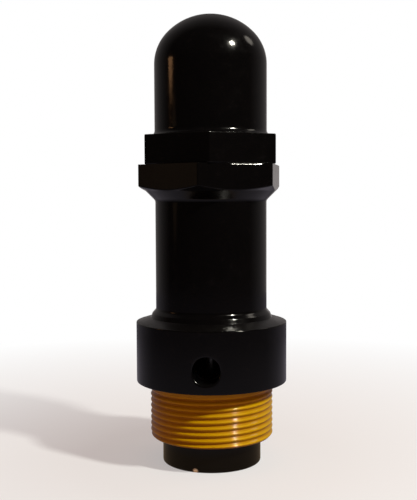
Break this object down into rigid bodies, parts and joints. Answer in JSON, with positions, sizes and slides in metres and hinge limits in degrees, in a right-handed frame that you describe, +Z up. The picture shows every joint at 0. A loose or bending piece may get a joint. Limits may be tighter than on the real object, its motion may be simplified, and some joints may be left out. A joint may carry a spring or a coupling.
{
  "type": "vacuum relief valve",
  "caption": "Spring-loaded vacuum relief valve: threaded inlet nipple, drilled air collar, slim neck, hexagons and a domed screw-on cap.",
  "frame": {"origin": "centre of the lowest face, the rim of the valve head, on the valve axis", "axes": "+Z up along the valve axis towards the domed cap; -Y is the front, out of one of the two air holes"},
  "size_m": [0.0586, 0.0586, 0.1731],
  "materials": {
    "black_paint": "gloss",
    "yellow_finish": "satin",
    "brass": "turned",
    "bronze": "turned",
    "spring_steel": "satin",
    "stainless_steel": "turned",
    "plated_steel": "satin",
    "nitrile": "matte"
  },
  "bodies": {
    "housing": {"body": "black_paint", "nipple": "yellow_finish", "valve_seat": "brass", "guide_bush": "bronze", "spring_washer": "plated_steel", "spring": "spring_steel"},
    "poppet": {"valve_head": "black_paint", "seal_disc": "nitrile", "seal_plate": "stainless_steel", "stem": "stainless_steel", "head_washer": "plated_steel", "head_nut": "plated_steel", "split_pin": "plated_steel"},
    "upper_plate": {"spring_plate": "plated_steel", "thrust_washer": "plated_steel"},
    "setting_nut": {"adjusting_nut": "plated_steel"},
    "lock_ring": {"lock_washer": "plated_steel"},
    "jam_nut": {"lock_nut": "plated_steel"},
    "cap_ring": {"cap_seal_ring": "nitrile"},
    "cap": {"cap": "black_paint"}
  },
  "joints": [
    {"name": "valve_lift", "type": "slide", "parent": "housing", "child": "poppet", "axis": [0, 0, -1], "range_m": [0, 0.006], "stiffness_N_per_m": 4300, "springref_m": -0.0112, "deforming": ["spring"]},
    {"name": "setting_travel", "type": "slide", "parent": "poppet", "child": "upper_plate", "axis": [0, 0, 1], "range_m": [-0.0045, 0.0045], "deforming": ["spring"]},
    {"name": "setting_turn", "type": "hinge", "parent": "upper_plate", "child": "setting_nut", "pos_m": [0, 0, 0.128], "axis": [0, 0, 1], "range_deg": [-1100, 1100]},
    {"name": "lock_travel", "type": "slide", "parent": "setting_nut", "child": "lock_ring", "axis": [0, 0, 1], "range_m": [0, 0.003]},
    {"name": "lock_turn", "type": "hinge", "parent": "lock_ring", "child": "jam_nut", "pos_m": [0, 0, 0.137], "axis": [0, 0, 1], "range_deg": [-20, 740]},
    {"name": "cap_travel", "type": "slide", "parent": "housing", "child": "cap_ring", "axis": [0, 0, 1], "range_m": [0, 0.009]},
    {"name": "cap_turn", "type": "hinge", "parent": "cap_ring", "child": "cap", "pos_m": [0, 0, 0.1156], "axis": [0, 0, 1], "range_deg": [-20, 2180]}
  ],
  "couplings": [
    {"joint": "setting_turn", "follows": "setting_travel", "rad_per_m": 4188.8},
    {"joint": "lock_turn", "follows": "lock_travel", "rad_per_m": 4188.8},
    {"joint": "cap_turn", "follows": "cap_travel", "rad_per_m": 4188.8}
  ]
}
